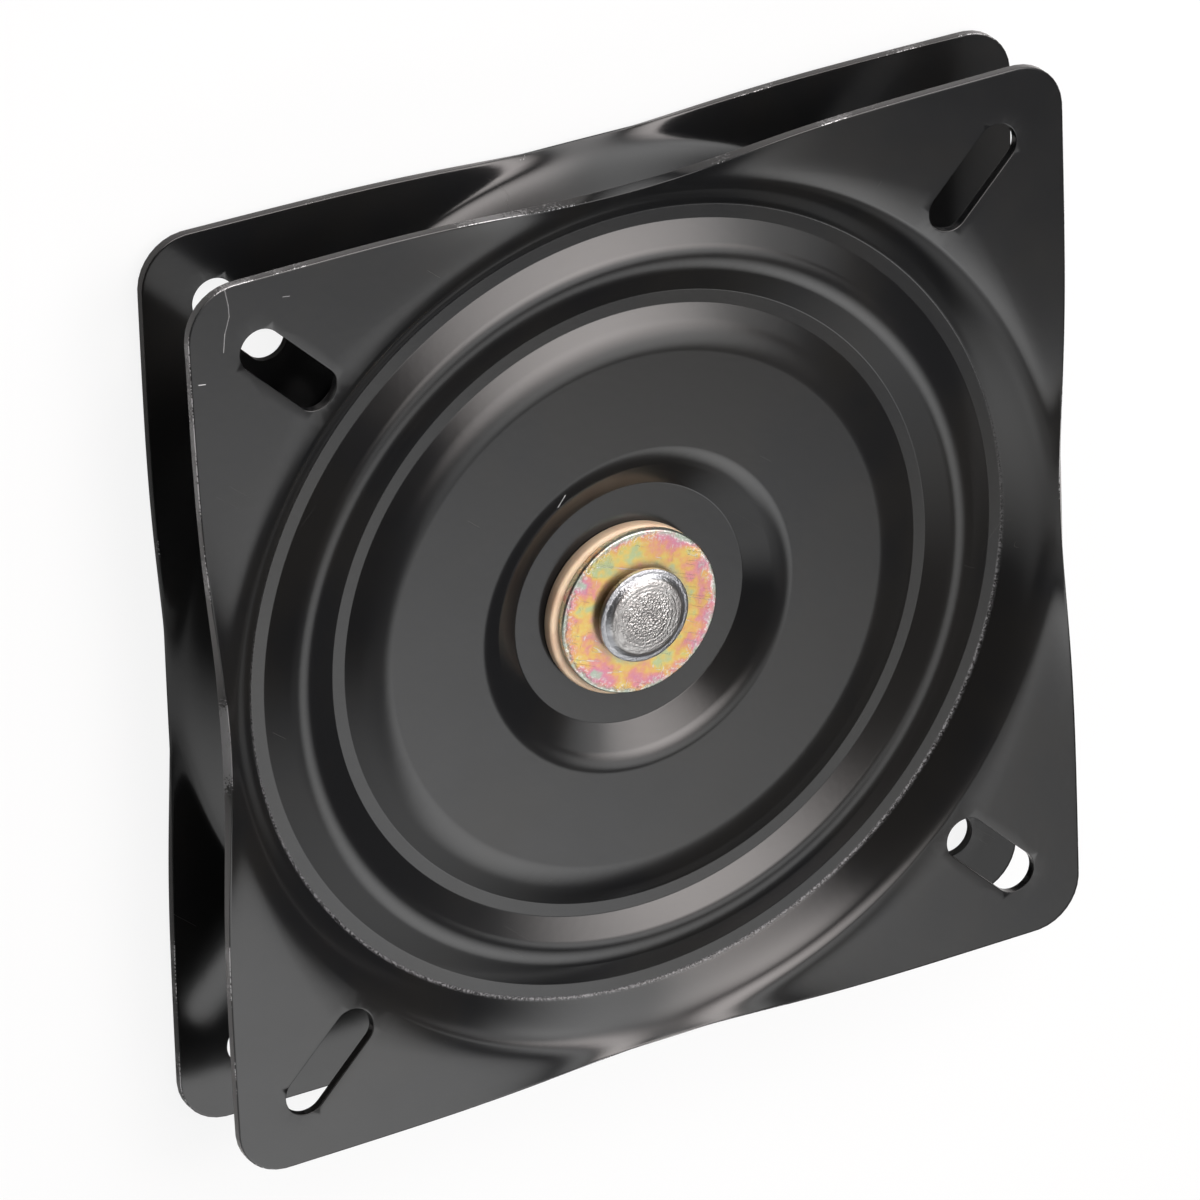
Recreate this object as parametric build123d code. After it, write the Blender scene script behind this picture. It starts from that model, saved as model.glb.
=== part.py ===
from build123d import *
import math
import os

# Swivel for a boat seat: two stamped plates that turn on a ring of caged balls and
# a riveted kingpin. Millimetres and degrees. The origin is on the swivel axis, in the
# plane on which the bottom plate stands, with +Z up through the kingpin.

# Square plates, both from one die
plate_side = 178.0
plate_corner_radius = 9.5
sheet_thickness = 1.8
edge_draw_in = 2.85          # how far the drawing pulls the middle of each edge in
edge_draw_width = 29.0       # distance from the middle at which that has faded to a third
edge_land = 0.3              # flat left between the drawn rim and the middle of an edge
top_plate_turn = 0.98        # the top plate stands this far round from the bottom one

# Slots, on the diagonals and along them
slot_inset = 19.15           # slot centre from the two sides of its corner
slot_length = 22.7
slot_width = 8.4

# Drawn form of a plate: radii from the axis, and depths below the mounting plane
recess_radius = 23.7         # flat floor that the washers lie on
recess_wall_slope = 29.0
shelf_depth = 4.5            # broad flat ring between recess and race
shelf_slope = 22.5
groove_half_width = 6.85     # race ridge, from its middle to where its slopes meet the flats
groove_slope = 22.5
race_flat_inside = 2.55      # flat between the shelf's slope and the race
race_flat_outside = 2.8      # flat between the race and the rim's slope
rim_slope = 49.0

# Bend radii, each on the hollow side of its bend
sharp_bend = 0.5
wall_bend = 2.6
shelf_bend = 4.2
rim_bend = 2.2

# Balls and their cage
ball_diameter = 9.525
ball_count = 20
groove_radius = 5.3
ball_clearance = 0.05        # between a ball and the top of each groove
crest_depth = 4.5            # from the mounting plane down to the top of the race ridge
cage_thickness = 2.2
cage_rim = 1.4               # width of the cage beside a pocket
collar_wall = 1.1
collar_height = 3.6
pocket_clearance = 0.15
cage_edge_radius = 0.4

# Kingpin, washers and spacer
pin_diameter = 12.7
pin_running_clearance = 0.08
thrust_washer_diameter = 35.2
thrust_washer_thickness = 2.4
thrust_washer_bore = 15.0
thrust_washer_shift = (-0.65, -0.65)
retaining_washer_diameter = 32.3
retaining_washer_thickness = 1.6
retaining_washer_bore = 13.5
washer_edge_radius = 0.35
spacer_diameter = 35.2
spacer_thickness = 2.4
spacer_play = 0.1
factory_head_diameter = 20.0
factory_head_height = 3.2
factory_head_edge = 1.2
swaged_head_diameter = 18.4
swaged_land_height = 0.7     # straight rim of the swaged head
swaged_head_height = 3.1
swaged_top_diameter = 14.6
swaged_top_edge = 0.8
swaged_dimple_diameter = 4.0
swaged_dimple_depth = 0.45

# Sizes that follow from these
ball_radius = ball_diameter / 2
pin_radius = pin_diameter / 2
total_height = 2 * (ball_radius + ball_clearance + sheet_thickness + crest_depth)
mid_height = total_height / 2
half_side = plate_side / 2
recess_depth = mid_height - sheet_thickness - (spacer_thickness + spacer_play) / 2
top_floor = total_height - recess_depth
bottom_floor = recess_depth


def run(rise, slope):
    """Level distance in which a slope climbs this far."""
    return rise / math.tan(math.radians(slope))


def rounding(radius, slope):
    """How far a rounded crest lies below the point in which its two slopes would meet."""
    return radius * (1 / math.cos(math.radians(slope)) - 1)


# The race lies as far out as the rim leaves room for, inside the drawn-in edges
apex = crest_depth - rounding(groove_radius + sheet_thickness, groove_slope)
valley = apex + groove_half_width * math.tan(math.radians(groove_slope))
rim_bend_reach = (rim_bend + sheet_thickness) * math.tan(math.radians(rim_slope / 2))
rim_top = half_side - edge_draw_in - edge_land - rim_bend_reach
rim_foot = rim_top - run(valley, rim_slope)
race_foot_out = rim_foot - race_flat_outside
race_radius = race_foot_out - groove_half_width
race_foot_in = race_radius - groove_half_width


def face_corners():
    """Corners of the plate's outer face as (radius, height, bend radius), from the axis out."""
    shelf_foot = race_foot_in - race_flat_inside
    wall_top = recess_radius + run(recess_depth - shelf_depth, recess_wall_slope)
    shelf_edge = shelf_foot - run(valley - shelf_depth, shelf_slope)
    return [
        (0, -recess_depth, 0),
        (recess_radius, -recess_depth, sharp_bend),
        (wall_top, -shelf_depth, wall_bend),
        (shelf_edge, -shelf_depth, shelf_bend),
        (shelf_foot, -valley, sharp_bend),
        (race_foot_in, -valley, sharp_bend),
        (race_radius, -apex, groove_radius),
        (race_foot_out, -valley, sharp_bend),
        (rim_foot, -valley, sharp_bend),
        (rim_top, 0, rim_bend),
        (plate_side, 0, 0),
    ]


def sheet_line(corners, depth):
    """The sheet's line at this depth below its outer face, with every bend rounded."""
    points = []
    radii = []
    for i, (x, y, bend) in enumerate(corners):
        here = Vector(x, y)
        before = here - Vector(*corners[i - 1][:2]) if i > 0 else None
        after = Vector(*corners[i + 1][:2]) - here if i < len(corners) - 1 else None
        before = (before or after).normalized()
        after = (after or before).normalized()
        inward = Vector(before.Y + after.Y, -before.X - after.X)
        points.append(here + inward * (depth / (1 + before.dot(after))))
        hollow_above = before.cross(after).Z > 0
        radii.append(bend + (depth if hollow_above else sheet_thickness - depth))
    return FilletPolyline(*points, radius=radii[1:-1])


def formed_disc():
    """The drawn sheet before its outline and holes are cut, outer face up at height 0."""
    outside = sheet_line(face_corners(), 0)
    inside = sheet_line(face_corners(), sheet_thickness)
    axis_end = Line(inside @ 0, outside @ 0)
    rim_end = Line(outside @ 1, inside @ 1)
    section = make_face([outside, rim_end, inside, axis_end])
    return revolve(Plane.XZ * section, axis=Axis.Z)


def plate_outline():
    """Square with round corners, each edge pulled in towards its middle."""
    straight = half_side - plate_corner_radius
    steps = 10

    def draw_in(x):
        return edge_draw_in * math.exp(-((x / edge_draw_width) ** 2))

    along = [straight * (2 * i / steps - 1) for i in range(steps + 1)]
    side_points = [(x, half_side - draw_in(x) + draw_in(straight)) for x in along]
    side = Spline(*side_points, tangents=[(1, 0), (1, 0)])
    corner = CenterArc((straight, straight), plate_corner_radius, 90, -90)
    edges = [Rot(0, 0, 90 * k) * edge for k in range(4) for edge in (side, corner)]
    return make_face(edges)


def plate():
    """One stamped plate, outer face up with its mounting plane at height 0."""
    deep = 2 * recess_depth
    blank = Pos(0, 0, -deep) * extrude(plate_outline(), 2 * deep)
    body = formed_disc() & blank
    hole = Cylinder(pin_radius + pin_running_clearance, 4 * deep)
    slot = extrude(SlotOverall(slot_length, slot_width), 2 * deep, both=True)
    slot_reach = (half_side - slot_inset) * math.sqrt(2)
    slots = [Rot(0, 0, 45 + 90 * k) * Pos(slot_reach, 0) * slot for k in range(4)]
    return body - hole - slots


def ball_angles():
    """Angle of each ball round the swivel axis."""
    return [360 / ball_count * k for k in range(ball_count)]


def on_race(angle):
    """Place on the ball circle at mid height, with local X pointing outwards."""
    return Rot(0, 0, angle) * Pos(race_radius, 0, mid_height)


def ball(angle):
    """One ball, its own axis along the radius that it rolls about."""
    return on_race(angle) * Rot(0, 90, 0) * Sphere(ball_radius)


def ball_cage():
    """Flat moulded ring with a collar round each ball, which its round pocket traps."""
    pocket_radius = ball_radius + pocket_clearance
    collar_radius = pocket_radius + collar_wall
    half_width = pocket_radius + cage_rim
    outside = Cylinder(race_radius + half_width, cage_thickness)
    inside = Cylinder(race_radius - half_width, cage_thickness)
    ring = outside - inside
    ring = fillet(ring.edges(), cage_edge_radius)
    ring = Pos(0, 0, mid_height) * ring
    for angle in ball_angles():
        ring += on_race(angle) * Cylinder(collar_radius, collar_height)
    for angle in ball_angles():
        ring -= on_race(angle) * Sphere(pocket_radius)
    return ring


def washer(diameter, bore, thickness):
    """Flat washer standing on height 0, outer edges slightly rounded."""
    disc = Cylinder(diameter / 2, thickness, align=(Align.CENTER, Align.CENTER, Align.MIN))
    edge_radius = min(washer_edge_radius, thickness / 3)
    disc = fillet(disc.edges().filter_by(GeomType.CIRCLE), edge_radius)
    return disc - Cylinder(bore / 2, 4 * thickness)


def kingpin_rivet():
    """Rivet on the swivel axis: factory head in the bottom recess, swaged head on top."""
    seat = top_floor + thrust_washer_thickness + retaining_washer_thickness
    head_low = bottom_floor - factory_head_height
    head_radius = factory_head_diameter / 2
    swaged_radius = swaged_head_diameter / 2
    crown_radius = swaged_top_diameter / 2
    crown_low = seat + swaged_head_height - swaged_top_edge
    crown_high = seat + swaged_head_height
    land = seat + swaged_land_height
    dimple_radius = swaged_dimple_diameter / 2
    half = [
        Line((0, head_low), (head_radius - factory_head_edge, head_low)),
        RadiusArc(
            (head_radius - factory_head_edge, head_low),
            (head_radius, head_low + factory_head_edge),
            -factory_head_edge,
        ),
        Polyline(
            (head_radius, head_low + factory_head_edge),
            (head_radius, bottom_floor),
            (pin_radius, bottom_floor),
            (pin_radius, seat),
            (swaged_radius, seat),
            (swaged_radius, land),
        ),
        Spline((swaged_radius, land), (crown_radius, crown_low), tangents=[(-0.3, 1), (-1, 1.6)]),
        RadiusArc(
            (crown_radius, crown_low),
            (crown_radius - swaged_top_edge, crown_high),
            -swaged_top_edge,
        ),
        Line((crown_radius - swaged_top_edge, crown_high), (dimple_radius, crown_high)),
        Line((dimple_radius, crown_high), (0, crown_high - swaged_dimple_depth)),
        Line((0, crown_high - swaged_dimple_depth), (0, head_low)),
    ]
    return revolve(Plane.XZ * make_face(half), axis=Axis.Z)


def thrust_washer():
    """Nylon washer on the floor of the top recess, as far off centre as its bore lets it lie."""
    disc = washer(thrust_washer_diameter, thrust_washer_bore, thrust_washer_thickness)
    return Pos(*thrust_washer_shift, top_floor) * disc


def retaining_washer():
    """Plated washer between the nylon one and the swaged head."""
    disc = washer(retaining_washer_diameter, retaining_washer_bore, retaining_washer_thickness)
    return Pos(0, 0, top_floor + thrust_washer_thickness) * disc


def centre_spacer():
    """Nylon ring that keeps the two recess floors apart."""
    bore = pin_diameter + 2 * pin_running_clearance
    disc = washer(spacer_diameter, bore, spacer_thickness)
    return Pos(0, 0, bottom_floor + sheet_thickness) * disc


def all_parts():
    """Every piece by name, in its place."""
    stamped = plate()
    parts = {
        "bottom_plate": Rot(180, 0, 0) * stamped,
        "top_plate": Pos(0, 0, total_height) * Rot(0, 0, top_plate_turn) * stamped,
        "ball_cage": ball_cage(),
        "kingpin_rivet": kingpin_rivet(),
        "thrust_washer": thrust_washer(),
        "retaining_washer": retaining_washer(),
        "centre_spacer": centre_spacer(),
    }
    for number, angle in enumerate(ball_angles(), start=1):
        parts[f"ball_{number:02d}"] = ball(angle)
    return parts


os.makedirs("parts", exist_ok=True)
for name, part in all_parts().items():
    export_step(part, f"parts/{name}.step")
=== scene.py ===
import bpy
import math
from mathutils import Matrix, Vector, noise


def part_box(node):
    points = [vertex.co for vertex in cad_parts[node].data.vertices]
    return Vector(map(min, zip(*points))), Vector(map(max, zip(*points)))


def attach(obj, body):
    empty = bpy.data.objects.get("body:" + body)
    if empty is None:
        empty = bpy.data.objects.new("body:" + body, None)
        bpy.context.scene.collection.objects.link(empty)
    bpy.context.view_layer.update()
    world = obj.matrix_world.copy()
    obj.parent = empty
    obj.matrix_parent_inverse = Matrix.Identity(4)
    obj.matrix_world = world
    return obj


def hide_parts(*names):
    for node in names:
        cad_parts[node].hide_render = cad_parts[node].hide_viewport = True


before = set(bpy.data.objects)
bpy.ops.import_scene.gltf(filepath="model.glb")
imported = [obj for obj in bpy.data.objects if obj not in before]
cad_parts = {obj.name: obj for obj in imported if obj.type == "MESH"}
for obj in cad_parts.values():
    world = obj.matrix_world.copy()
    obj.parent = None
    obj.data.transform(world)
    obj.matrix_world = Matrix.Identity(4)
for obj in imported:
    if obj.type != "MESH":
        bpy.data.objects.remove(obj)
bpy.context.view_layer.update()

mm = 0.001
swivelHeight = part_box("top_plate")[1].z
print("frame loaded, swivel height", round(swivelHeight / mm, 3), "mm")


# Camera, at the angle from which the swivel was photographed

cameraSettings = {
    "aim": (-10.39 * mm, 7.00 * mm, swivelHeight),
    "distance": 1.904,
    "azimuth": 133.104,   # direction from the aim point to the camera, round Z from +X
    "elevation": 51.432,
    "roll": 128.272,
    "lens": 317.44,
    "sensorWidth": 36,
    "clip": (0.05, 50),   # nearest and farthest that the camera sees
}


def lineBack(settings):
    # unit vector back along the line of sight, to where a camera or a lamp stands
    turn = math.radians(settings["azimuth"])
    lift = math.radians(settings["elevation"])
    return Vector((math.cos(turn) * math.cos(lift), math.sin(turn) * math.cos(lift), math.sin(lift)))


def lookAlong(back, roll):
    # a camera or a lamp looks down its own -Z
    facing = back.to_track_quat("Z", "Y").to_matrix()
    return (facing @ Matrix.Rotation(math.radians(roll), 3, "Z")).to_euler()


def placeCamera(settings):
    back = lineBack(settings)
    bpy.ops.object.camera_add(location=Vector(settings["aim"]) + back * settings["distance"])
    camera = bpy.context.object
    camera.name = "studioCamera"
    camera.rotation_euler = lookAlong(back, settings["roll"])
    camera.data.lens = settings["lens"]
    camera.data.sensor_width = settings["sensorWidth"]
    camera.data.clip_start, camera.data.clip_end = settings["clip"]
    bpy.context.scene.camera = camera


placeCamera(cameraSettings)
print("camera placed")


# Mesh helpers

def pick(obj):
    if bpy.context.object and bpy.context.object.mode == "EDIT":
        bpy.ops.object.mode_set(mode="OBJECT")
    bpy.ops.object.select_all(action="DESELECT")
    if obj:
        obj.select_set(True)
        bpy.context.view_layer.objects.active = obj


def selectWhere(obj, kind, test):
    # leaves obj in edit mode with only these vertices, edges or polygons selected
    bpy.ops.object.mode_set(mode="EDIT")
    bpy.ops.mesh.select_mode(type={"vertices": "VERT", "edges": "EDGE", "polygons": "FACE"}[kind])
    bpy.ops.mesh.select_all(action="DESELECT")
    bpy.ops.object.mode_set(mode="OBJECT")
    for item in getattr(obj.data, kind):
        item.select = test(item)
    bpy.ops.object.mode_set(mode="EDIT")


def applyModifier(obj, kind, **values):
    pick(obj)
    modifier = obj.modifiers.new(kind.lower(), kind)
    for name, value in values.items():
        setattr(modifier, name, value)
    bpy.ops.object.modifier_apply(modifier=modifier.name)


def profileLine(name, corners):
    # a line in the XZ plane through corners (radius, height, bend radius, degrees per step)
    pick(None)
    first = corners[0]
    bpy.ops.mesh.primitive_plane_add(size=mm, location=(first[0], 0, first[1]))
    line = bpy.context.object
    line.name = name
    bpy.ops.object.transform_apply(location=True)
    bpy.ops.object.mode_set(mode="EDIT")
    bpy.ops.mesh.select_mode(type="VERT")
    bpy.ops.mesh.select_all(action="SELECT")
    bpy.ops.mesh.merge(type="CENTER")
    for last, here in zip(corners, corners[1:]):
        step = (here[0] - last[0], 0, here[1] - last[1])
        bpy.ops.mesh.extrude_region_move(TRANSFORM_OT_translate={"value": step})
    places = [Vector((corner[0], 0, corner[1])) for corner in corners]
    for i in range(1, len(corners) - 1):
        radius, perStep = corners[i][2:]
        if not radius:
            continue
        turn = math.pi - (places[i - 1] - places[i]).angle(places[i + 1] - places[i])
        segments = max(3, round(math.degrees(turn) / perStep))
        selectWhere(line, "vertices", lambda v: (v.co - places[i]).length < 1e-7)
        bpy.ops.mesh.bevel(
            offset=radius * math.tan(turn / 2), offset_type="OFFSET", segments=segments,
            profile=0.5, affect="VERTICES", clamp_overlap=False,
        )
    return line


def spinLine(line, steps):
    bpy.ops.object.mode_set(mode="EDIT")
    bpy.ops.mesh.select_all(action="SELECT")
    bpy.ops.mesh.spin(steps=steps, angle=2 * math.pi, center=(0, 0, 0), axis=(0, 0, 1))
    bpy.ops.mesh.select_all(action="SELECT")
    bpy.ops.mesh.remove_doubles(threshold=1e-6)
    bpy.ops.mesh.normals_make_consistent(inside=False)
    bpy.ops.object.mode_set(mode="OBJECT")


def moveVertices(obj, shift):
    # shift(place) gives how far the vertex there is moved
    for vertex in obj.data.vertices:
        vertex.co += shift(vertex.co)
    obj.data.update()


def smooth(obj, degrees):
    pick(obj)
    bpy.ops.object.shade_smooth_by_angle(angle=math.radians(degrees))
    applyModifier(obj, "WEIGHTED_NORMAL", keep_sharp=True)


# Plates: one die, so one mesh, copied for the second plate

plateForm = {
    "sheet": 1.8 * mm,
    "cornerRadius": 9.5 * mm,
    "drawIn": 2.85 * mm,          # middle of each side, pulled in as the dish was drawn
    "drawWidth": 29 * mm,
    "edgeLift": 1.05 * mm,        # there the cut edge springs up, as no flange holds it flat
    "liftWidth": 27 * mm,
    "liftStart": 81.7 * mm,
    "pinHole": 6.43 * mm,
    "recessRadius": 23.7 * mm,
    "recessSlope": 29,
    "shelfDepth": 4.5 * mm,
    "shelfSlope": 22.5,
    "raceRadius": 68.507 * mm,
    "raceHalfWidth": 6.85 * mm,
    "raceSlope": 22.5,
    "raceBend": 5.3 * mm,
    "raceCrest": 4.5 * mm,
    "flatInside": 2.55 * mm,
    "flatOutside": 2.8 * mm,
    "rimSlope": 49,
    "sharpBend": 0.5 * mm,
    "creaseBend": 0.3 * mm,       # how far the bend at the wall's foot reaches up the wall
    "wallBend": 6.6 * mm,
    "shelfBend": 14.2 * mm,
    "rimSoftness": 1.4 * mm,      # the larger, the wider the turn from the rim's wall to the flange
    "rimRings": 14,
    "flangeStart": 85.6 * mm,     # from here the rings follow the square outline
    "slotInset": 19.15 * mm,
    "slotLength": 22.7 * mm,
    "slotWidth": 8.4 * mm,
    "slotMargin": 1.2 * mm,
    "slotSteps": 44,
    "turns": 480,
    "flangeRings": 10,
    "lastRingInset": 0.54 * mm,   # of the ring before the cut edge, where the side leaves room
    "lastRingShare": 0.7,         # and where it doesn't
    "edgeRounding": 0.2 * mm,
    "wearReach": 0.45 * mm,
    "topTurn": 0.98,
}
halfSide = (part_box("bottom_plate")[1].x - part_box("bottom_plate")[0].x) / 2
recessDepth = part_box("thrust_washer")[0].z - swivelHeight


def climb(rise, slope):
    return rise / math.tan(math.radians(slope))


def rimHeight(form, crease, radius):
    # outer face from the crease at the wall's foot, up the wall and softly over to the flange
    top = crease[0] + climb(-crease[1], form["rimSlope"])
    past = (radius - top) * math.tan(math.radians(form["rimSlope"]))
    return -form["rimSoftness"] * math.log(1 + math.exp(-past / form["rimSoftness"]))


def dishCorners(form):
    # outer face from the pin hole to the flange; a bend that is convex there is a sheet wider
    raised = form["sheet"]
    crestDrop = (form["raceBend"] + raised) * (1 / math.cos(math.radians(form["raceSlope"])) - 1)
    apex = crestDrop - form["raceCrest"]
    low = apex - form["raceHalfWidth"] * math.tan(math.radians(form["raceSlope"]))
    raceIn = form["raceRadius"] - form["raceHalfWidth"]
    raceOut = form["raceRadius"] + form["raceHalfWidth"]
    shelf = -form["shelfDepth"]
    shelfFoot = raceIn - form["flatInside"]
    rimFoot = raceOut + form["flatOutside"]
    sharp = form["sharpBend"]
    rings = form["rimRings"]
    wallStep = (form["flangeStart"] - rimFoot) / rings
    wall = [rimFoot + wallStep * ring for ring in range(1, rings + 1)]
    return [
        (form["pinHole"], recessDepth, 0, 0),
        (form["recessRadius"], recessDepth, sharp, 7),
        (form["recessRadius"] + climb(shelf - recessDepth, form["recessSlope"]), shelf,
         form["wallBend"] + raised, 3),
        (shelfFoot - climb(shelf - low, form["shelfSlope"]), shelf, form["shelfBend"] + raised, 2.5),
        (shelfFoot, low, sharp, 6),
        (raceIn, low, sharp, 6),
        (form["raceRadius"], apex, form["raceBend"] + raised, 4),
        (raceOut, low, sharp, 6),
        (rimFoot, low, sharp, 8),
        *[(radius, rimHeight(form, (rimFoot, low), radius), 0, 0) for radius in wall],
    ]


def drawIn(form, along):
    # how much further in than its ends a side is, this far from its middle
    straight = halfSide - form["cornerRadius"]
    here = math.exp(-((along / form["drawWidth"]) ** 2))
    return form["drawIn"] * (here - math.exp(-((straight / form["drawWidth"]) ** 2)))


def outlineReach(form, angle):
    # from the axis to the cut edge, in this direction
    folded = (angle + math.pi / 4) % (math.pi / 2) - math.pi / 4
    straight = halfSide - form["cornerRadius"]
    across = halfSide
    for attempt in range(12):
        across = halfSide - drawIn(form, across * math.tan(folded))
    if abs(across * math.tan(folded)) <= straight:
        return across / math.cos(folded)
    ray = Vector((math.cos(folded), abs(math.sin(folded))))
    centre = Vector((straight, straight))
    inLine = ray.dot(centre)
    return inLine + math.sqrt(inLine ** 2 - centre.length_squared + form["cornerRadius"] ** 2)


def slotDistance(form, place, corner):
    # from the middle line of the slot in this corner
    reach = (halfSide - form["slotInset"]) * math.sqrt(2)
    turn = math.radians(45 + 90 * corner)
    along = place.x * math.cos(turn) + place.y * math.sin(turn) - reach
    across = place.y * math.cos(turn) - place.x * math.sin(turn)
    straight = (form["slotLength"] - form["slotWidth"]) / 2
    return math.hypot(max(abs(along) - straight, 0), across)


def extendFlange(plate, form, start):
    # rings are grown outwards evenly, then each is pulled out to its share of the square outline
    growth = 0.01   # of each ring over the one before, as a share of start
    rings = form["flangeRings"]
    selectWhere(plate, "vertices", lambda v: v.co.xy.length > start - 1e-6)
    for ring in range(1, rings + 1):
        bpy.ops.mesh.extrude_region_move(TRANSFORM_OT_translate={"value": (0, 0, 0)})
        share = (1 + growth * ring) / (1 + growth * (ring - 1))
        bpy.ops.transform.resize(value=(share, share, 1))
    bpy.ops.object.mode_set(mode="OBJECT")

    def pullOut(place):
        radius = place.xy.length
        ring = round((radius / start - 1) / growth)
        if ring < 1:
            return Vector((0, 0, 0))
        outline = outlineReach(form, math.atan2(place.y, place.x))
        inside = max(outline - form["lastRingInset"], start + (outline - start) * form["lastRingShare"])
        reach = outline if ring == rings else start + (inside - start) * ring / (rings - 1)
        return Vector((place.x, place.y, 0)) * (reach / radius - 1)

    moveVertices(plate, pullOut)


def shapeRim(plate, form):
    # the wall and its bend; in the middle of each side the cut edge springs up out of the bend
    crease, low = dishCorners(form)[8][:2]   # the corner at the wall's foot

    def rise(place):
        radius = place.xy.length
        if radius < crease + form["creaseBend"]:
            return Vector((0, 0, 0))
        along = min(abs(place.x), abs(place.y))
        whole = radius + outlineGap(form, place) - form["liftStart"]
        share = max(0, radius - form["liftStart"]) / whole
        lift = form["edgeLift"] * math.exp(-((along / form["liftWidth"]) ** 2)) * share ** 3
        return Vector((0, 0, rimHeight(form, (crease, low), radius) + lift - place.z))

    moveVertices(plate, rise)


def cutSlot(plate, form, corner):
    radius = form["slotWidth"] / 2
    room = radius + form["slotMargin"]
    verts = plate.data.vertices
    selectWhere(plate, "polygons", lambda p: any(
        slotDistance(form, verts[i].co, corner) < room for i in p.vertices))
    bpy.ops.mesh.delete(type="FACE")
    bpy.ops.mesh.select_mode(type="VERT")
    bpy.ops.mesh.select_all(action="DESELECT")
    reach = (halfSide - form["slotInset"]) * math.sqrt(2)
    turn = math.radians(45 + 90 * corner)
    bpy.ops.mesh.primitive_circle_add(vertices=form["slotSteps"], radius=radius, rotation=(0, 0, turn),
                                      location=(reach * math.cos(turn), reach * math.sin(turn), 0))
    bpy.ops.object.mode_set(mode="OBJECT")
    loop = {v.index for v in verts if v.select}
    middle = Vector((reach * math.cos(turn), reach * math.sin(turn), 0))
    outward = Vector((math.cos(turn), math.sin(turn), 0))
    stretch = (form["slotLength"] - form["slotWidth"]) / 2
    for i in loop:
        side = (verts[i].co - middle).dot(outward)
        verts[i].co += outward * math.copysign(stretch, side)
    uses = {}
    for polygon in plate.data.polygons:
        for key in polygon.edge_keys:
            uses[key] = uses.get(key, 0) + 1
    near = 4 * form["slotWidth"]
    selectWhere(plate, "edges", lambda e: uses.get(e.key, 0) < 2 and all(
        slotDistance(form, verts[i].co, corner) < near for i in e.vertices)
        and (e.vertices[0] in loop or all(outlineGap(form, verts[i].co) > 0.5 * mm for i in e.vertices)))
    bpy.ops.mesh.fill(use_beauty=True)
    bpy.ops.object.mode_set(mode="OBJECT")


def outlineGap(form, place):
    return outlineReach(form, math.atan2(place.y, place.x)) - place.xy.length


def markCutEdge(plate, form):
    # 1 on the sheared outline, fading to 0 a little way in, for the paint's wear to follow
    mark = plate.data.attributes.new("cutEdge", "FLOAT", "POINT")
    for vertex in plate.data.vertices:
        if vertex.co.xy.length < halfSide - 2 * form["drawIn"]:
            continue
        gap = outlineGap(form, vertex.co)
        mark.data[vertex.index].value = max(0, 1 - gap / form["wearReach"])


def buildPlate(form):
    corners = dishCorners(form)
    plate = profileLine("stampedPlate", corners)
    spinLine(plate, form["turns"])
    extendFlange(plate, form, corners[-1][0])
    for corner in range(4):
        cutSlot(plate, form, corner)
    shapeRim(plate, form)
    bpy.ops.object.mode_set(mode="EDIT")
    bpy.ops.mesh.select_all(action="SELECT")
    bpy.ops.mesh.normals_make_consistent(inside=False)
    bpy.ops.object.mode_set(mode="OBJECT")
    if plate.data.polygons[0].normal.z < 0:
        bpy.ops.object.mode_set(mode="EDIT")
        bpy.ops.mesh.flip_normals()
        bpy.ops.object.mode_set(mode="OBJECT")
    applyModifier(plate, "SOLIDIFY", thickness=form["sheet"], offset=-1, use_even_offset=True,
                  use_quality_normals=True)
    applyModifier(plate, "BEVEL", width=form["edgeRounding"], segments=2, limit_method="ANGLE",
                  angle_limit=math.radians(50), use_clamp_overlap=False)
    markCutEdge(plate, form)
    smooth(plate, 40)
    return plate


def placeCopy(source, name, matrix, node, body):
    piece = source.copy()
    piece.data = source.data.copy()
    piece.name = name
    piece.data.name = name
    bpy.context.scene.collection.objects.link(piece)
    piece.data.transform(matrix)
    piece.data.update()
    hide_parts(node)
    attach(piece, body)
    return piece


stamping = buildPlate(plateForm)
overturned = Matrix.Rotation(math.pi, 4, "X")
seatTurn = Matrix.Rotation(math.radians(plateForm["topTurn"]), 4, "Z")
basePlate = placeCopy(stamping, "basePlate", overturned, "bottom_plate", "base")
seatPlate = placeCopy(stamping, "seatPlate", Matrix.Translation((0, 0, swivelHeight)) @ seatTurn,
                      "top_plate", "turntable")
bpy.data.objects.remove(stamping)
print("plates stamped,", len(seatPlate.data.polygons), "faces each")


# Turned pieces: a half section spun round the kingpin's axis

def shortenEdges(line, longest):
    # splits the section's long edges, so that a turned face has vertices to shape
    while True:
        verts = line.data.vertices
        selectWhere(line, "edges", lambda e: (
            verts[e.vertices[0]].co - verts[e.vertices[1]].co).length > longest)
        bpy.ops.object.mode_set(mode="OBJECT")
        if not any(edge.select for edge in line.data.edges):
            return
        bpy.ops.object.mode_set(mode="EDIT")
        bpy.ops.mesh.subdivide(number_cuts=1)
        bpy.ops.object.mode_set(mode="OBJECT")


def turnedPiece(name, corners, longest, steps, node, body):
    piece = profileLine(name, corners)
    shortenEdges(piece, longest)
    spinLine(piece, steps)
    piece.data.name = name
    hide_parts(node)
    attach(piece, body)
    return piece


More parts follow.
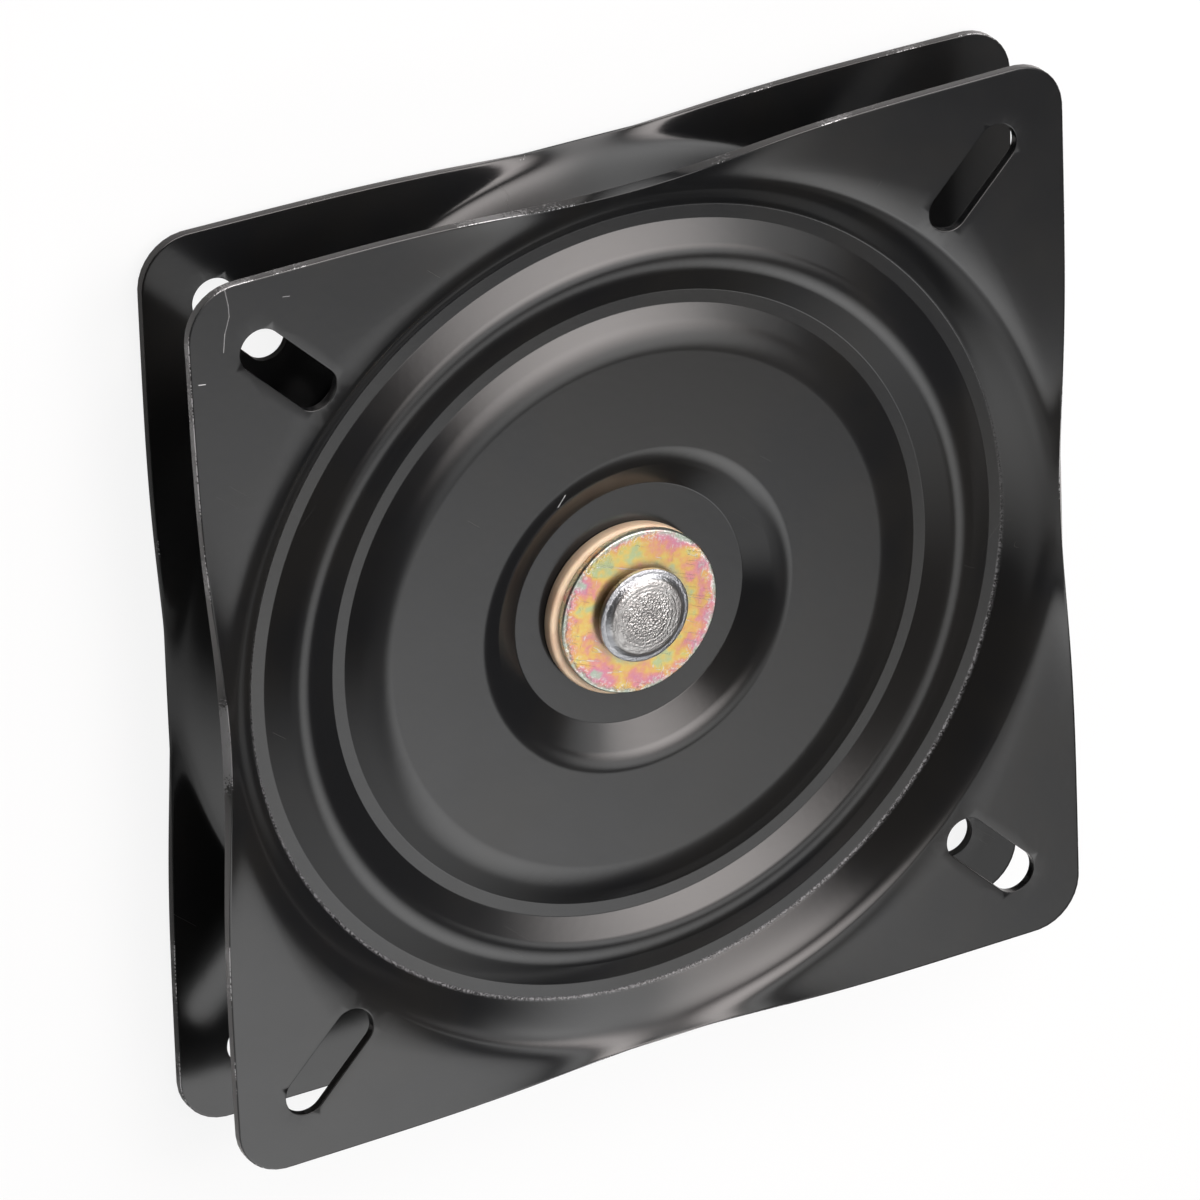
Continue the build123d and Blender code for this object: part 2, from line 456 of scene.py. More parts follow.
rivetForm = {
    "shank": 6.35 * mm,
    "factoryRadius": 10 * mm,
    "factoryEdge": 1.2 * mm,
    "footRadius": 8.35 * mm,      # where the swaged head stands on the washer
    "lipRadius": 9.12 * mm,
    "lipLow": 1.0 * mm,           # the lip's rim, above the washer
    "lipHigh": 1.8 * mm,
    "stepRadius": 8.05 * mm,      # foot of the crown, on the lip
    "stepHeight": 1.95 * mm,
    "crownRadius": 7.1 * mm,
    "crownDrop": 0.3 * mm,        # from the middle of the crown to its shoulder
    "dimpleRadius": 1.3 * mm,
    "dimpleDepth": 0.25 * mm,
    "longest": 0.3 * mm,
    "steps": 180,
    "rippleHeight": 0.018 * mm,   # rings left by the riveting tool
    "ripplePitch": 0.8 * mm,
    "facetHeight": 0.02 * mm,
    "facetScale": 900,
    "lipShare": 0.35,             # of that unevenness, on the lip
}


def buildRivet(form):
    low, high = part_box("kingpin_rivet")
    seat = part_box("retaining_washer")[1].z
    recess = -recessDepth
    lip = seat + form["lipHigh"]
    piece = turnedPiece("rivetPin", [
        (0, low.z, 0, 0),
        (form["factoryRadius"], low.z, form["factoryEdge"], 9),
        (form["factoryRadius"], recess, 0.15 * mm, 30),
        (form["shank"], recess, 0, 0),
        (form["shank"], seat, 0, 0),
        (form["footRadius"], seat, 0, 0),
        (form["lipRadius"], seat + form["lipLow"], 0.5 * mm, 12),
        (form["lipRadius"], lip, 0.25 * mm, 15),
        (form["stepRadius"], seat + form["stepHeight"], 0.7 * mm, 8),
        (form["crownRadius"], high.z - form["crownDrop"], 1.1 * mm, 6),
        (form["dimpleRadius"] * 2, high.z, 0, 0),
        (form["dimpleRadius"], high.z - 0.05 * mm, 0.3 * mm, 15),
        (0, high.z - form["dimpleDepth"], 0, 0),
    ], form["longest"], form["steps"], "kingpin_rivet", "base")

    def hammer(place):
        radius = place.xy.length
        if place.z < lip - 0.3 * mm:
            return Vector((0, 0, 0))
        share = 1 if radius < form["crownRadius"] else form["lipShare"]
        ripple = math.sin(radius / form["ripplePitch"] * 2 * math.pi + 2 * noise.noise(place * 300))
        facet = noise.noise(place * form["facetScale"]) + 0.5 * noise.noise(place * form["facetScale"] * 2.3)
        return Vector((0, 0, share * (form["rippleHeight"] * ripple + form["facetHeight"] * facet)))

    moveVertices(piece, hammer)
    smooth(piece, 50)
    return piece


def buildWasher(name, form, node):
    low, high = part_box(node)
    middle = Vector(form["shift"])
    half = (low.z + high.z) / 2
    outside = form["radius"]
    start = (form["bore"], half, 0, 0)
    piece = turnedPiece(name, [
        start,
        (form["bore"], low.z, form["boreEdge"], 20),
        (outside, low.z, form["lowEdge"], 18),
        (outside + form["bulge"], half, form["bulge"] * 8, 10),
        (outside, high.z, form["topEdge"], 10),
        (form["bore"], high.z, form["boreEdge"], 20),
        start,
    ], form["longest"], form["steps"], node, "base")

    def unevenly(place):
        wave = noise.noise(place * form["waveScale"] + Vector((3, 7, 1)))
        return Vector((middle.x, middle.y, form["waveHeight"] * wave))

    moveVertices(piece, unevenly)
    smooth(piece, 50)
    return piece


zincWasherForm = {
    "radius": 16.08 * mm,
    "shift": (0, 0),
    "bore": 6.75 * mm,
    "boreEdge": 0.12 * mm,
    "lowEdge": 0.15 * mm,
    "topEdge": 0.35 * mm,         # rolled over where the blanking punch went in
    "bulge": 0.02 * mm,
    "longest": 0.8 * mm,
    "steps": 200,
    "waveHeight": 0.035 * mm,
    "waveScale": 170,
}
nylonWasherForm = {
    "radius": 16.62 * mm,
    "shift": (-1.05 * mm, 0),     # slid over as far as its bore lets it
    "bore": 7.5 * mm,
    "boreEdge": 0.2 * mm,
    "lowEdge": 0.35 * mm,
    "topEdge": 0.6 * mm,
    "bulge": 0.12 * mm,
    "longest": 1.0 * mm,
    "steps": 160,
    "waveHeight": 0.02 * mm,
    "waveScale": 90,
}

rivetPin = buildRivet(rivetForm)
zincWasher = buildWasher("zincWasher", zincWasherForm, "retaining_washer")
nylonWasher = buildWasher("nylonWasher", nylonWasherForm, "thrust_washer")
print("rivet and washers turned")


# Shared effects, each a node group

def add(tree, kind, inputs=None, **settings):
    made = tree.nodes.new("ShaderNode" + kind)
    for name, value in settings.items():
        setattr(made, name, value)
    for name, value in (inputs or {}).items():
        if isinstance(value, bpy.types.NodeSocket):
            tree.links.new(value, made.inputs[name])
        else:
            made.inputs[name].default_value = value
    return made


def calc(tree, operation, first, second=0.0, clamp=False):
    return add(tree, "Math", {0: first, 1: second}, operation=operation, use_clamp=clamp).outputs[0]


def blend(tree, share, first, second):
    made = add(tree, "Mix", data_type="RGBA")
    for slot, value in ((0, share), (6, first), (7, second)):
        if isinstance(value, bpy.types.NodeSocket):
            tree.links.new(value, made.inputs[slot])
        else:
            made.inputs[slot].default_value = value
    return made.outputs[2]


def ramp(tree, value, low, high, toLow=0.0, toHigh=1.0):
    sockets = {"Value": value, "From Min": low, "From Max": high, "To Min": toLow, "To Max": toHigh}
    return add(tree, "MapRange", sockets, interpolation_type="SMOOTHSTEP").outputs["Result"]


def grain(tree, vector, scale, detail=2.0, roughness=0.5):
    sockets = {"Vector": vector, "Scale": scale, "Detail": detail, "Roughness": roughness}
    return add(tree, "TexNoise", sockets).outputs["Fac"]


def newGroup(name, inputs, output):
    group = bpy.data.node_groups.new(name, "ShaderNodeTree")
    for label, kind, value in inputs:
        socket = group.interface.new_socket(name=label, in_out="INPUT", socket_type="NodeSocket" + kind)
        if value is not None:
            socket.default_value = value
    group.interface.new_socket(name=output, in_out="OUTPUT", socket_type="NodeSocketFloat")
    return group, group.nodes.new("NodeGroupInput").outputs, group.nodes.new("NodeGroupOutput").inputs


def useGroup(tree, group, **inputs):
    made = tree.nodes.new("ShaderNodeGroup")
    made.node_tree = group
    for name, value in inputs.items():
        if isinstance(value, bpy.types.NodeSocket):
            tree.links.new(value, made.inputs[name])
        else:
            made.inputs[name].default_value = value
    return made.outputs[0]


def speckGroup():
    # scattered round specks: Share of the cells have one, none wider than Size of its cell
    group, given, result = newGroup("scatteredSpecks", [
        ("Vector", "Vector", None),
        ("Scale", "Float", 100.0),
        ("Share", "Float", 0.1),
        ("Size", "Float", 0.2),
    ], "Mask")
    cells = add(group, "TexVoronoi", {"Vector": given["Vector"], "Scale": given["Scale"]})
    chance = add(group, "SeparateColor", {"Color": cells.outputs["Color"]}).outputs
    chosen = calc(group, "LESS_THAN", chance[0], given["Share"])
    width = calc(group, "MULTIPLY", calc(group, "ADD", chance[1], 0.15), given["Size"])
    inside = calc(group, "LESS_THAN", cells.outputs["Distance"], width)
    group.links.new(calc(group, "MULTIPLY", chosen, inside), result["Mask"])
    return group


def hairlineGroup():
    # fine scratches along one direction, broken into short lengths
    group, given, result = newGroup("hairlines", [
        ("Vector", "Vector", None),
        ("Scale", "Float", 60.0),
        ("Turn", "Float", 0.0),
        ("Width", "Float", 0.004),
        ("Share", "Float", 0.4),
    ], "Mask")
    turned = add(group, "VectorRotate", {"Vector": given["Vector"], "Angle": given["Turn"]},
                 rotation_type="Z_AXIS").outputs[0]
    stretched = add(group, "Mapping", {"Vector": turned, "Scale": (0.12, 2.6, 1.0)}).outputs[0]
    lines = grain(group, stretched, given["Scale"], 1.0)
    offLine = calc(group, "ABSOLUTE", calc(group, "SUBTRACT", lines, 0.5))
    onLine = calc(group, "LESS_THAN", offLine, given["Width"])
    patches = grain(group, given["Vector"], given["Scale"], 1.0)
    here = calc(group, "LESS_THAN", patches, given["Share"])
    group.links.new(calc(group, "MULTIPLY", onLine, here), result["Mask"])
    return group


def patchGroup():
    # broken patches whose edges are ragged at the grain of Fine
    group, given, result = newGroup("raggedPatches", [
        ("Vector", "Vector", None),
        ("Scale", "Float", 60.0),
        ("Fine", "Float", 900.0),
        ("Level", "Float", 0.6),
    ], "Mask")
    broad = grain(group, given["Vector"], given["Scale"], 2.0)
    fine = grain(group, given["Vector"], given["Fine"], 3.0, 0.7)
    both = calc(group, "ADD", broad, calc(group, "MULTIPLY", calc(group, "SUBTRACT", fine, 0.5), 0.5))
    edge = calc(group, "ADD", given["Level"], 0.03)
    group.links.new(ramp(group, both, given["Level"], edge), result["Mask"])
    return group


def streakGroup():
    # one scratch, straight from Start to End as seen from above
    group, given, result = newGroup("scratchLine", [
        ("Vector", "Vector", None),
        ("Start", "Vector", None),
        ("End", "Vector", None),
        ("Width", "Float", 0.0002),
    ], "Mask")
    level = add(group, "VectorMath", {0: given["Vector"], 1: (1, 1, 0)}, operation="MULTIPLY").outputs[0]
    along = add(group, "VectorMath", {0: given["End"], 1: given["Start"]}, operation="SUBTRACT").outputs[0]
    here = add(group, "VectorMath", {0: level, 1: given["Start"]}, operation="SUBTRACT").outputs[0]
    covered = add(group, "VectorMath", {0: here, 1: along}, operation="DOT_PRODUCT").outputs["Value"]
    whole = add(group, "VectorMath", {0: along, 1: along}, operation="DOT_PRODUCT").outputs["Value"]
    share = calc(group, "DIVIDE", covered, whole, clamp=True)
    reached = add(group, "VectorMath", {0: along, "Scale": share}, operation="SCALE").outputs[0]
    aside = add(group, "VectorMath", {0: here, 1: reached}, operation="DISTANCE").outputs["Value"]
    group.links.new(calc(group, "LESS_THAN", aside, given["Width"]), result["Mask"])
    return group


specks = speckGroup()
hairlines = hairlineGroup()
raggedPatches = patchGroup()
scratchLine = streakGroup()


# Finishes

def newMaterial(name):
    material = bpy.data.materials.new(name)
    material.use_nodes = True
    tree = material.node_tree
    tree.nodes.clear()
    output = tree.nodes.new("ShaderNodeOutputMaterial")
    shader = tree.nodes.new("ShaderNodeBsdfPrincipled")
    tree.links.new(shader.outputs[0], output.inputs["Surface"])
    place = add(tree, "TexCoord").outputs["Object"]
    return material, tree, shader.inputs, place


def fromAxis(tree, place):
    # the place laid on the level, and how far that is from the kingpin's axis
    apart = add(tree, "SeparateXYZ", {"Vector": place}).outputs
    level = add(tree, "CombineXYZ", {"X": apart["X"], "Y": apart["Y"]}).outputs[0]
    return level, add(tree, "VectorMath", {0: level}, operation="LENGTH").outputs["Value"]


def bumps(tree, sockets, *heights):
    # each height is (value, distance), laid one over the other
    normal = None
    for value, distance in heights:
        inputs = {"Height": value, "Distance": distance}
        if normal:
            inputs["Normal"] = normal
        normal = add(tree, "Bump", inputs).outputs[0]
    tree.links.new(normal, sockets["Normal"])


seatEcoatFinish = {
    "name": "seatEcoat",
    "chips": 0.55,                # level above which the cut edge is bare: higher for less of it
    "black": (0.0085, 0.0088, 0.0095, 1),
    "warmBlack": (0.0115, 0.0112, 0.0108, 1),
    "dust": (0.30, 0.29, 0.27, 1),
    # colour of the painted highlight along the crease
    "creaseHighlight": (0.24, 0.24, 0.25, 1),
    "steel": (0.52, 0.52, 0.53, 1),
    "roughness": 0.18,
    "cloudScale": 24,
    "handledScale": 90,
    "cloudRoughness": 0.05,
    "dustScale": 170.0,
    "dustShare": 0.035,
    "dustSize": 0.05,
    "hairlineStrength": 0.12,
    "peelScale": 620,
    "peelHeight": 0.006 * mm,
    "creaseRadius": 78.1 * mm,
    "creaseWidth": 0.5 * mm,
    "creaseGrain": 2600,
    "highlightSideFrom": (30 * mm, 0.04),    # Y where the crease's painted highlight starts, and how strong
    "highlightSideTo": (-60 * mm, 0.8),
    "chipScale": 60.0,
    "chipGrain": 2400.0,
    "wornAndCreaseRoughness": 0.25,
    "scratchWidth": 0.09 * mm,
    "scratches": [                # single scratches in mm: from, to and how bare
        ((-83.1, 88.6), (-82.3, 84.1), 0.3), ((-82.3, 84.1), (-82.2, 81.9), 0.3),
        ((-82.2, 81.9), (-83.2, 78.7), 0.3), ((-83.2, 78.7), (-83.6, 75.3), 0.4),
        ((-88.7, 70.3), (-87.4, 70.1), 1.0), ((-71.6, 83.0), (-70.3, 82.8), 0.35),
        ((-14.3, 27.1), (-15.7, 24.9), 0.9),
    ],
}
baseEcoatFinish = dict(seatEcoatFinish, name="baseEcoat", chips=0.63, scratches=[])


def blackEcoat(finish):
    material, tree, sockets, place = newMaterial(finish["name"])
    level, radius = fromAxis(tree, place)
    clouds = grain(tree, place, finish["cloudScale"], 4.0, 0.6)
    handled = grain(tree, place, finish["handledScale"], 3.0, 0.6)
    colour = blend(tree, ramp(tree, clouds, 0.42, 0.62), finish["black"], finish["warmBlack"])

    dust = useGroup(tree, specks, Vector=place, Scale=finish["dustScale"], Share=finish["dustShare"],
                    Size=finish["dustSize"])
    scratchOne = useGroup(tree, hairlines, Vector=place, Scale=55.0, Turn=0.7, Width=0.0011, Share=0.30)
    scratchTwo = useGroup(tree, hairlines, Vector=place, Scale=70.0, Turn=2.3, Width=0.0009, Share=0.28)
    marks = calc(tree, "MAXIMUM", scratchOne, scratchTwo)
    faintMarks = calc(tree, "MULTIPLY", marks, finish["hairlineStrength"])
    colour = blend(tree, calc(tree, "MAXIMUM", dust, faintMarks), colour, finish["dust"])

    # painted highlight: a lighter, grainy line along the crease at the wall's foot, strongest towards -Y,
    # standing in for the lamp caught in the bend
    offCrease = calc(tree, "ABSOLUTE", calc(tree, "SUBTRACT", radius, finish["creaseRadius"]))
    onCrease = ramp(tree, offCrease, 0.0, finish["creaseWidth"], 1.0, 0.0)
    sparkle = ramp(tree, grain(tree, place, finish["creaseGrain"], 3.0, 0.75), 0.44, 0.58)
    forward = add(tree, "SeparateXYZ", {"Vector": level}).outputs["Y"]
    (start, little), (end, most) = finish["highlightSideFrom"], finish["highlightSideTo"]
    highlightSide = ramp(tree, forward, start, end, little, most)
    crease = calc(tree, "MULTIPLY", calc(tree, "MULTIPLY", onCrease, sparkle), highlightSide)
    colour = blend(tree, crease, colour, finish["creaseHighlight"])
    for first, last, bare in finish["scratches"]:
        line = useGroup(tree, scratchLine, Vector=place, Start=(first[0] * mm, first[1] * mm, 0),
                        End=(last[0] * mm, last[1] * mm, 0), Width=finish["scratchWidth"])
        colour = blend(tree, calc(tree, "MULTIPLY", line, bare), colour, finish["steel"])

    cutEdge = add(tree, "Attribute", attribute_name="cutEdge").outputs["Fac"]
    chipped = useGroup(tree, raggedPatches, Vector=place, Scale=finish["chipScale"],
                       Fine=finish["chipGrain"], Level=finish["chips"])
    onFace = ramp(tree, cutEdge, 0.92, 0.995, 1.0, 0.25)
    arris = calc(tree, "MULTIPLY", ramp(tree, cutEdge, 0.5, 0.8), onFace)
    chips = calc(tree, "MULTIPLY", arris, chipped)
    colour = blend(tree, chips, colour, finish["steel"])
    tree.links.new(colour, sockets["Base Color"])
    tree.links.new(chips, sockets["Metallic"])

    haze = calc(tree, "MULTIPLY", calc(tree, "ADD", clouds, handled), finish["cloudRoughness"])
    rough = calc(tree, "ADD", haze, finish["roughness"] - finish["cloudRoughness"])
    wornAndCrease = calc(tree, "MAXIMUM", crease, calc(tree, "MAXIMUM", chips, dust))
    rougher = calc(tree, "MULTIPLY", wornAndCrease, finish["wornAndCreaseRoughness"])
    tree.links.new(calc(tree, "ADD", rough, rougher), sockets["Roughness"])
    peel = grain(tree, place, finish["peelScale"], 2.0)
    bumps(tree, sockets, (peel, finish["peelHeight"]), (crease, 0.02 * mm), (marks, -0.004 * mm))
    return material


zincFinish = {
    "tones": [
        (0.33, (0.46, 0.52, 0.28)),
        (0.41, (0.70, 0.53, 0.16)),
        (0.48, (0.72, 0.42, 0.16)),
        (0.55, (0.70, 0.30, 0.27)),
        (0.63, (0.64, 0.26, 0.36)),
        (0.72, (0.44, 0.50, 0.42)),
    ],
    "toneDrift": 0.045,           # how much further along the tones the rim is than the middle
    "toneSpan": 3 * mm,
    "core": (0.46, 0.37, 0.24, 1),
    "rim": (0.42, 0.48, 0.40, 1),
    # colour of bare zinc in the scratches, and of the painted glints on the rim
    "bare": (0.70, 0.70, 0.68, 1),
    "coreRadius": 10.4 * mm,
    "rimRadius": 15.35 * mm,
    "toneRadius": 12.5 * mm,      # where the tones don't drift
    "filmScale": 190,
    "mottleScale": 700,
    "mottleReach": 1.6 * mm,      # how far the borders of core and rim wander
    # painted glints: bright speckles along the rim that stand in for its sparkle
    "glintScale": 2400.0,
    "glintReach": 2.2 * mm,       # from the rim inwards
    "glintStrength": 0.7,
    "scratchStrength": 0.6,
    "rimCloudScale": 260,
    "grainScale": 1500,
    "grainHeight": 0.012 * mm,
    "pitScale": 1100,
    "pitHeight": 0.08 * mm,
    "roughness": 0.34,
}


def yellowZinc(finish):
    material, tree, sockets, place = newMaterial("yellowZinc")
    radius = fromAxis(tree, place)[1]
    film = grain(tree, place, finish["filmScale"], 3.0, 0.55)
    outward = calc(tree, "DIVIDE", calc(tree, "SUBTRACT", radius, finish["toneRadius"]), finish["toneSpan"])
    toned = calc(tree, "ADD", film, calc(tree, "MULTIPLY", outward, finish["toneDrift"]))
    tones = tree.nodes.new("ShaderNodeValToRGB")
    stops = tones.color_ramp.elements
    while len(stops) < len(finish["tones"]):
        stops.new(0.5)
    for stop, (position, colour) in zip(stops, finish["tones"]):
        stop.position = position
        stop.color = (*colour, 1)
    tree.links.new(toned, tones.inputs["Fac"])
    mottle = calc(tree, "SUBTRACT", grain(tree, place, finish["mottleScale"], 3.0), 0.5)
    wander = calc(tree, "ADD", radius, calc(tree, "MULTIPLY", mottle, finish["mottleReach"]))
    nearCore = ramp(tree, wander, finish["coreRadius"] - 1.5 * mm, finish["coreRadius"] + 0.6 * mm, 0.8, 0.0)
    nearRim = ramp(tree, wander, finish["rimRadius"] - 0.5 * mm, finish["rimRadius"] + 0.4 * mm)
    colour = blend(tree, nearCore, tones.outputs["Color"], finish["core"])
    cloudy = ramp(tree, grain(tree, place, finish["rimCloudScale"], 3.0, 0.7), 0.36, 0.56, 0.25, 1.0)
    colour = blend(tree, calc(tree, "MULTIPLY", nearRim, cloudy), colour, finish["rim"])
    # painted glints: ragged speckles of bright colour near the rim, in place of highlights
    paintedGlints = useGroup(tree, raggedPatches, Vector=place, Scale=finish["glintScale"], Fine=4200.0, Level=0.56)
    speckled = ramp(tree, wander, finish["rimRadius"] - finish["glintReach"], finish["rimRadius"], 0.1, 1.0)
    paintedRimGlints = calc(tree, "MULTIPLY", calc(tree, "MULTIPLY", paintedGlints, speckled), finish["glintStrength"])
    scratches = calc(tree, "MAXIMUM",
                     useGroup(tree, hairlines, Vector=place, Scale=260.0, Turn=0.4, Width=0.006, Share=0.45),
                     useGroup(tree, hairlines, Vector=place, Scale=300.0, Turn=1.9, Width=0.005, Share=0.42))
    # painted glints and real scratches, both lightened towards bare zinc
    bright = calc(tree, "MAXIMUM", paintedRimGlints, calc(tree, "MULTIPLY", scratches, finish["scratchStrength"]))
    colour = blend(tree, bright, colour, finish["bare"])
    tree.links.new(colour, sockets["Base Color"])
    sockets["Metallic"].default_value = 1.0
    rough = calc(tree, "ADD", calc(tree, "MULTIPLY", film, 0.16), finish["roughness"] - 0.08)
    tree.links.new(calc(tree, "SUBTRACT", rough, calc(tree, "MULTIPLY", bright, 0.08)), sockets["Roughness"])
    fine = grain(tree, place, finish["grainScale"], 3.0, 0.6)
    pitted = calc(tree, "MULTIPLY", grain(tree, place, finish["pitScale"], 2.0), nearRim)
    bumps(tree, sockets, (fine, finish["grainHeight"]), (pitted, finish["pitHeight"]),
          (scratches, -0.02 * mm))
    return material


steelFinish = {
    "steel": (0.50, 0.49, 0.48, 1),
    "darkSteel": (0.20, 0.19, 0.19, 1),
    "blueSteel": (0.40, 0.42, 0.46, 1),
    "blotchScale": 420,
    "blotchStrength": 0.45,
    "ringScale": 420.0,           # tool rings
    "ringHeight": 0.036 * mm,
    "peenScale": 2600.0,          # small dents, most of them in the middle
    "peenHeight": 0.2 * mm,
    "grainScale": 5000,
    "grainHeight": 0.012 * mm,
    "roughness": 0.38,
}


def rivetSteel(finish):
    material, tree, sockets, place = newMaterial("rivetSteel")
    level, radius = fromAxis(tree, place)
    blotches = ramp(tree, grain(tree, place, finish["blotchScale"], 5.0, 0.65), 0.4, 0.64)
    dark = calc(tree, "MULTIPLY", blotches, finish["blotchStrength"])
    colour = blend(tree, dark, finish["steel"], finish["darkSteel"])
    onLip = ramp(tree, radius, 7.2 * mm, 7.8 * mm, 0.0, 0.6)
    colour = blend(tree, onLip, colour, finish["blueSteel"])
    tree.links.new(colour, sockets["Base Color"])
    sockets["Metallic"].default_value = 1.0
    rough = calc(tree, "ADD", calc(tree, "MULTIPLY", blotches, 0.14), finish["roughness"] - 0.07)
    tree.links.new(rough, sockets["Roughness"])
    wave = {"Vector": level, "Scale": finish["ringScale"], "Distortion": 4.5, "Detail": 3.0,
            "Detail Scale": 2.0}
    rings = add(tree, "TexWave", wave, wave_type="RINGS", rings_direction="Z").outputs["Fac"]
    dents = add(tree, "TexVoronoi", {"Vector": place, "Scale": finish["peenScale"]}).outputs["Distance"]
    peened = calc(tree, "MULTIPLY", dents, ramp(tree, radius, 2.5 * mm, 6.5 * mm, 1.0, 0.2))
    fine = grain(tree, place, finish["grainScale"], 2.0)
    bumps(tree, sockets, (rings, finish["ringHeight"]), (peened, finish["peenHeight"]),
          (fine, finish["grainHeight"]))
    return material


nylonFinish = {
    "cream": (0.78, 0.60, 0.42, 1),
    "tan": (0.66, 0.46, 0.32, 1),
    "roughness": 0.38,
    "cloudScale": 120,
    "soak": 0.12,                 # share of the light that soaks in, and how far
    "soakReach": (1.2 * mm, 0.8 * mm, 0.5 * mm),
    "grainScale": 900,
    "grainHeight": 0.02 * mm,
    "fineScale": 3500,
    "fineHeight": 0.004 * mm,
}
cageFinish = dict(nylonFinish, cream=(0.72, 0.70, 0.64, 1), tan=(0.60, 0.57, 0.50, 1), roughness=0.42)


def mouldedNylon(name, finish):
    material, tree, sockets, place = newMaterial(name)
    clouds = grain(tree, place, finish["cloudScale"], 4.0, 0.6)
    colour = blend(tree, ramp(tree, clouds, 0.38, 0.66), finish["cream"], finish["tan"])
    tree.links.new(colour, sockets["Base Color"])
    sockets["Subsurface Weight"].default_value = finish["soak"]
    sockets["Subsurface Radius"].default_value = finish["soakReach"]
    sockets["Subsurface Scale"].default_value = 1.0
    rough = calc(tree, "ADD", calc(tree, "MULTIPLY", clouds, 0.12), finish["roughness"] - 0.06)
    tree.links.new(rough, sockets["Roughness"])
    coarse = grain(tree, place, finish["grainScale"], 3.0)
    fine = grain(tree, place, finish["fineScale"], 1.0)
    bumps(tree, sockets, (coarse, finish["grainHeight"]), (fine, finish["fineHeight"]))
    return material


ballFinish = {
    "bright": (0.60, 0.60, 0.61, 1),
    "oiled": (0.48, 0.47, 0.45, 1),
    "filmScale": 300,
    "polish": (0.08, 0.2),        # roughness where bright and where oiled
    "grainScale": 4000,
    "grainHeight": 0.001 * mm,
}


def polishedBall(finish):
    material, tree, sockets, place = newMaterial("ballSteel")
    film = grain(tree, place, finish["filmScale"], 3.0)
    tree.links.new(blend(tree, film, finish["bright"], finish["oiled"]), sockets["Base Color"])
    sockets["Metallic"].default_value = 1.0
    tree.links.new(ramp(tree, film, 0.3, 0.7, *finish["polish"]), sockets["Roughness"])
    bumps(tree, sockets, (grain(tree, place, finish["grainScale"], 1.0), finish["grainHeight"]))
    return material


def dress(piece, material):
    piece.data.materials.clear()
    piece.data.materials.append(material)


finishes = {
    "basePlate": blackEcoat(baseEcoatFinish),
    "seatPlate": blackEcoat(seatEcoatFinish),
    "zincWasher": yellowZinc(zincFinish),
    "rivetPin": rivetSteel(steelFinish),
    "nylonWasher": mouldedNylon("washerNylon", nylonFinish),
}
for piece in (basePlate, seatPlate, zincWasher, rivetPin, nylonWasher):
    dress(piece, finishes[piece.name])
cageNylon = mouldedNylon("cageNylon", cageFinish)
ballSteel = polishedBall(ballFinish)
for name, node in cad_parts.items():
    if name.startswith("ball_") and name != "ball_cage":
        node.material_slots[0].material = ballSteel
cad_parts["ball_cage"].material_slots[0].material = cageNylon
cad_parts["centre_spacer"].material_slots[0].material = finishes["nylonWasher"]
print("finishes laid on")


# Floor, walls of light and the world

floorSettings = {
    "size": 8.0,
    "drop": 1.5 * mm,
    "colour": (0.8, 0.8, 0.8, 1),
    "whiteness": 0.88,               # share of plain white that the camera sees there
}


def paleFloor(settings):
    material = bpy.data.materials.new("paleFloor")
    material.use_nodes = True
    tree = material.node_tree
    tree.nodes.clear()
    lit = add(tree, "BsdfDiffuse", {"Color": settings["colour"]}).outputs[0]
    glow = add(tree, "Emission", {"Strength": 1.0}).outputs[0]
    seen = add(tree, "LightPath").outputs["Is Camera Ray"]
    both = add(tree, "MixShader", {0: calc(tree, "MULTIPLY", seen, settings["whiteness"]), 1: lit, 2: glow})
    add(tree, "OutputMaterial", {"Surface": both.outputs[0]})
    return material


pick(None)
bpy.ops.mesh.primitive_plane_add(size=floorSettings["size"], location=(0, 0, -floorSettings["drop"]))
floor = bpy.context.object
floor.name = "studioFloor"
floor.data.materials.append(paleFloor(floorSettings))

skySettings = {"light": 0.02, "seen": 1.0}
world = bpy.data.worlds.new("studioWorld")
bpy.context.scene.world = world
world.use_nodes = True
backdrop = world.node_tree.nodes["Background"]
backdrop.inputs["Color"].default_value = (1, 1, 1, 1)
seenByCamera = add(world.node_tree, "LightPath").outputs["Is Camera Ray"]
backdropGlow = ramp(world.node_tree, seenByCamera, 0.0, 1.0, skySettings["light"], skySettings["seen"])
world.node_tree.links.new(backdropGlow, backdrop.inputs["Strength"])

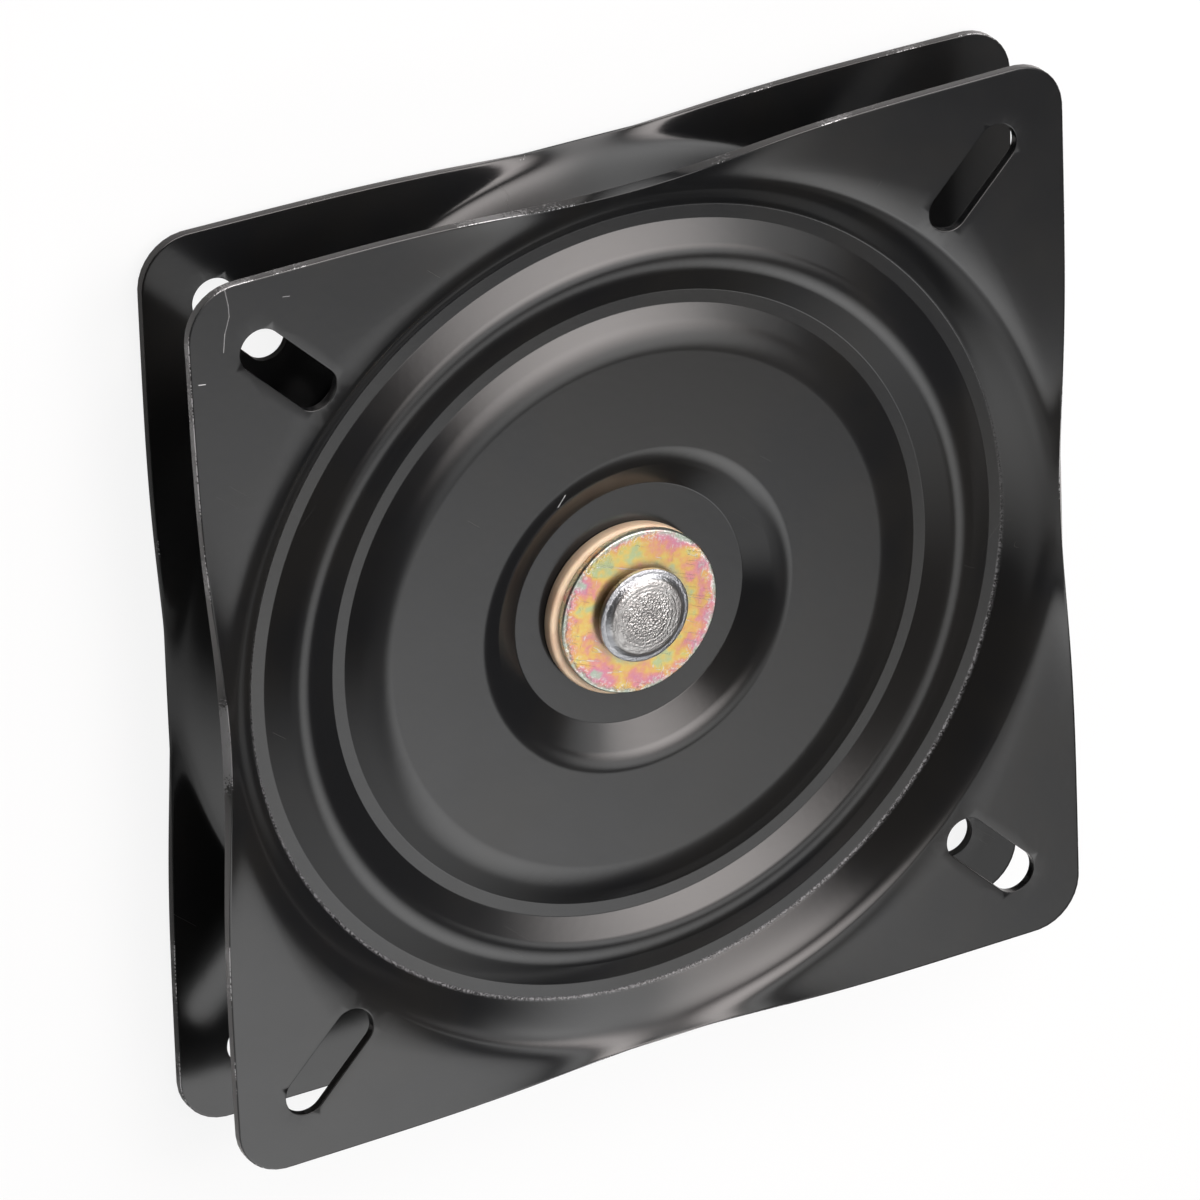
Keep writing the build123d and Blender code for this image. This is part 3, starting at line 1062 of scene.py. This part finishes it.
# Each lamp by its direction from the swivel in degrees, distance, width and height in metres, and glow
lamps = [
    {"name": "keySoftbox", "azimuth": 37, "elevation": 67, "distance": 0.9, "roll": -22,
     "size": (0.59, 0.77), "radiance": 8.8, "colour": (1, 0.94, 0.92)},
    {"name": "sidePanel", "azimuth": 85, "elevation": 39.5, "distance": 1.9, "roll": 22,
     "size": (1.56, 1.08), "radiance": 7.2, "colour": (1, 0.94, 0.92)},
    {"name": "lowSidePanel", "azimuth": 51, "elevation": 27.5, "distance": 1.44, "roll": -16,
     "size": (1.3, 1.0), "radiance": 3.1},
    {"name": "rightPanel", "azimuth": 25, "elevation": 40, "distance": 1.05, "roll": -43,
     "size": (0.69, 0.55), "radiance": 1.7},
    {"name": "topPanel", "azimuth": 342, "elevation": 63, "distance": 1.9, "roll": 43,
     "size": (0.58, 1.21), "radiance": 2.7},
    {"name": "backPanel", "azimuth": 295, "elevation": 48, "distance": 1.9, "roll": 41,
     "size": (1.17, 0.83), "radiance": 3.2},
    {"name": "leftPanel", "azimuth": 259, "elevation": 38, "distance": 0.79, "roll": 23,
     "size": (0.66, 0.85), "radiance": 1.0},
    {"name": "lowPanel", "azimuth": 228, "elevation": 12, "distance": 1.19, "roll": 11,
     "size": (1.07, 1.99), "radiance": 1.5},
]


def addLamp(settings):
    # each faces the middle of the swivel from its own direction, rolled about that line
    back = lineBack(settings)
    bpy.ops.object.light_add(type="AREA", location=back * settings["distance"])
    lamp = bpy.context.object
    lamp.name = settings["name"]
    lamp.visible_camera = False
    lamp.rotation_euler = lookAlong(back, settings["roll"])
    lamp.data.shape = "RECTANGLE"
    lamp.data.size, lamp.data.size_y = settings["size"]
    lamp.data.color = settings.get("colour", (1, 1, 1))
    lamp.data.energy = math.pi * settings["size"][0] * settings["size"][1] * settings["radiance"]
    lamp.data.use_nodes = True
    tree = lamp.data.node_tree
    across = add(tree, "SeparateXYZ", {"Vector": add(tree, "NewGeometry").outputs["Parametric"]}).outputs
    glow = None
    for side in ("X", "Y"):
        # brightest along the middle, none at the edges
        half = calc(tree, "MULTIPLY", across[side], calc(tree, "SUBTRACT", 1.0, across[side]))
        soft = calc(tree, "MULTIPLY", half, 4.0)
        glow = calc(tree, "MULTIPLY", glow, soft) if glow else soft
    tree.links.new(glow, tree.nodes["Emission"].inputs["Strength"])


for settings in lamps:
    addLamp(settings)

bpy.context.scene.view_settings.view_transform = "Standard"
